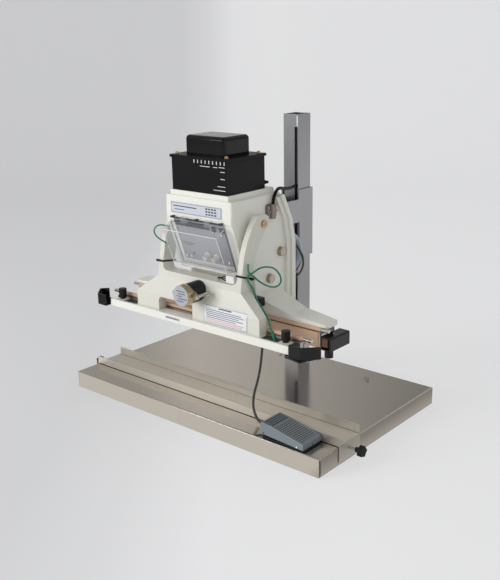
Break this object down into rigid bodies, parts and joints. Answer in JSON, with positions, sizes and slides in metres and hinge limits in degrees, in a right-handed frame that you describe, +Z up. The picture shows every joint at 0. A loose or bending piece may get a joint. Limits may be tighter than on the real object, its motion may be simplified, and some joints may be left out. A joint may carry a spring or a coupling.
{
  "type": "foot pedal sealer",
  "caption": "Post-mounted foot pedal bag sealer with a swinging front jaw over a stainless steel work table, with a sliding product rest and a foot switch.",
  "frame": {"origin": "on the floor under the middle of the table", "axes": "+X along the sealing jaws towards the foot pedal's side, +Y from the operator's side to the post, +Z up"},
  "size_m": [0.8826, 0.488, 0.71],
  "materials": {
    "cream_paint": "satin",
    "black_paint": "satin",
    "black_gloss": "gloss",
    "stainless": "brushed",
    "grey_steel": "satin",
    "zinc_steel": "satin",
    "aluminium": "satin",
    "ptfe_tan": "matte",
    "nichrome": "satin",
    "black_plastic": "matte",
    "brass": "satin",
    "motor_gold": "satin",
    "copper_coil": "satin",
    "panel_grey": "satin",
    "ivory_plastic": "gloss",
    "board_green": "satin",
    "clear_plastic": "gloss",
    "cord_black": "matte",
    "cord_grey": "matte",
    "loom_blue": "matte",
    "pedal_grey": "satin",
    "terminal_brown": "satin",
    "spring_steel": "satin"
  },
  "bodies": {
    "stand": {"table_tray": "stainless", "post": "grey_steel", "post_foot_plate": "zinc_steel", "post_foot_bolts": "zinc_steel", "pedal_base": "black_plastic", "pedal_switch": "black_plastic", "pedal_spring": "spring_steel", "pedal_cord": "cord_grey"},
    "head": {"head_bracket": "grey_steel", "body_casting": "cream_paint", "pivot_screws": "brass", "rear_jaw_bar": "aluminium", "rear_ptfe_cover": "ptfe_tan", "rear_heating_strip": "nichrome", "rear_clamp_rod": "zinc_steel", "rear_end_cover": "black_plastic", "terminal_block": "terminal_brown", "solenoid_frame": "zinc_steel", "solenoid_coil": "copper_coil", "limit_switch": "black_plastic", "transformer_box": "black_paint", "transformer_screws": "brass", "transformer_cap": "black_gloss", "transformer_core": "grey_steel", "transformer_coil": "copper_coil", "control_panel": "panel_grey", "panel_controls": "black_plastic", "timer_board": "board_green", "hood_hinge": "zinc_steel", "casting_bolts": "zinc_steel", "cable_gland": "zinc_steel", "mains_cord": "cord_black", "wire_loom": "loom_blue"},
    "yoke": {"jaw_yoke": "cream_paint", "front_beam": "cream_paint", "front_jaw_bar": "aluminium", "front_ptfe_cover": "ptfe_tan", "front_heating_strip": "nichrome", "front_clamp_rod": "zinc_steel", "front_end_caps": "black_plastic", "motor_can": "motor_gold", "motor_plate": "zinc_steel", "motor_gearbox": "black_paint", "motor_screws": "zinc_steel"},
    "rest": {"product_rest": "stainless", "rest_glides": "black_plastic"},
    "rest_knob_left": {"rest_knob_left": "black_plastic"},
    "rest_knob_right": {"rest_knob_right": "black_plastic"},
    "height_knob": {"height_knob": "black_plastic"},
    "motor_cam": {"motor_cam": "ivory_plastic"},
    "thumb_nut_left": {"thumb_nut_left": "black_plastic"},
    "thumb_nut_right": {"thumb_nut_right": "black_plastic"},
    "cover_knob": {"cover_knob": "black_plastic"},
    "plunger": {"solenoid_plunger": "zinc_steel"},
    "dial_left": {"dial_left": "ivory_plastic"},
    "dial_right": {"dial_right": "ivory_plastic"},
    "button_left": {"button_left": "ivory_plastic"},
    "button_right": {"button_right": "ivory_plastic"},
    "hood": {"hood": "clear_plastic"},
    "pedal_lid": {"pedal_lid": "pedal_grey"}
  },
  "joints": [
    {"name": "rest_slide", "type": "slide", "parent": "stand", "child": "rest", "axis": [0, 1, 0], "range_m": [0, 0.2]},
    {"name": "rest_knob_left_turn", "type": "hinge", "parent": "rest", "child": "rest_knob_left", "pos_m": [-0.42, -0.135, 0.031], "axis": [1, 0, 0], "range_deg": [-360, 360]},
    {"name": "rest_knob_right_turn", "type": "hinge", "parent": "rest", "child": "rest_knob_right", "pos_m": [0.42, -0.135, 0.031], "axis": [1, 0, 0], "range_deg": [-360, 360]},
    {"name": "head_height", "type": "slide", "parent": "stand", "child": "head", "axis": [0, 0, 1], "range_m": [-0.1, 0.13], "deforming": ["pedal_cord"]},
    {"name": "height_knob_turn", "type": "hinge", "parent": "head", "child": "height_knob", "pos_m": [-0.04, 0.205, 0.389], "axis": [1, 0, 0], "range_deg": [-360, 360]},
    {"name": "jaw_swing", "type": "hinge", "parent": "head", "child": "yoke", "pos_m": [0, -0.096, 0.491], "axis": [1, 0, 0], "range_deg": [0, 13.8], "stiffness_Nm_per_rad": 20, "springref_deg": -8.59},
    {"name": "plunger_slide", "type": "slide", "parent": "head", "child": "plunger", "axis": [0, 1, 0], "range_m": [0, 0.0465]},
    {"name": "motor_spin", "type": "hinge", "parent": "yoke", "child": "motor_cam", "pos_m": [0.005, -0.174, 0.33], "axis": [0, 1, 0], "continuous": true},
    {"name": "thumb_nut_left_turn", "type": "hinge", "parent": "yoke", "child": "thumb_nut_left", "pos_m": [-0.266, -0.184, 0.269], "axis": [0, 0, 1], "range_deg": [-360, 360]},
    {"name": "thumb_nut_right_turn", "type": "hinge", "parent": "yoke", "child": "thumb_nut_right", "pos_m": [0.266, -0.184, 0.269], "axis": [0, 0, 1], "range_deg": [-360, 360]},
    {"name": "cover_knob_turn", "type": "hinge", "parent": "head", "child": "cover_knob", "pos_m": [0.31175, -0.086, 0.218], "axis": [0, 0, 1], "range_deg": [-360, 360]},
    {"name": "dial_left_turn", "type": "hinge", "parent": "head", "child": "dial_left", "pos_m": [0.0035, -0.14977, 0.40395], "axis": [0, -0.9416, -0.3368], "range_deg": [-150, 150]},
    {"name": "dial_right_turn", "type": "hinge", "parent": "head", "child": "dial_right", "pos_m": [0.0315, -0.14977, 0.40395], "axis": [0, -0.9416, -0.3368], "range_deg": [-150, 150]},
    {"name": "button_left_press", "type": "slide", "parent": "head", "child": "button_left", "axis": [0, 0.9416, 0.3368], "range_m": [0, 0.0015], "stiffness_N_per_m": 300, "springref_m": -0.001},
    {"name": "button_right_press", "type": "slide", "parent": "head", "child": "button_right", "axis": [0, 0.9416, 0.3368], "range_m": [0, 0.0015], "stiffness_N_per_m": 300, "springref_m": -0.001},
    {"name": "hood_swing", "type": "hinge", "parent": "head", "child": "hood", "pos_m": [0, -0.1795, 0.4955], "axis": [-1, 0, 0], "range_deg": [0, 95]},
    {"name": "pedal_press", "type": "hinge", "parent": "stand", "child": "pedal_lid", "pos_m": [0.347, -0.208, 0.054], "axis": [0, -1, 0], "range_deg": [0, 3.2], "stiffness_Nm_per_rad": 6, "springref_deg": -2.86, "deforming": ["pedal_spring"]}
  ],
  "couplings": [
    {"joint": "plunger_slide", "follows": "jaw_swing", "m_per_rad": 0.19}
  ]
}
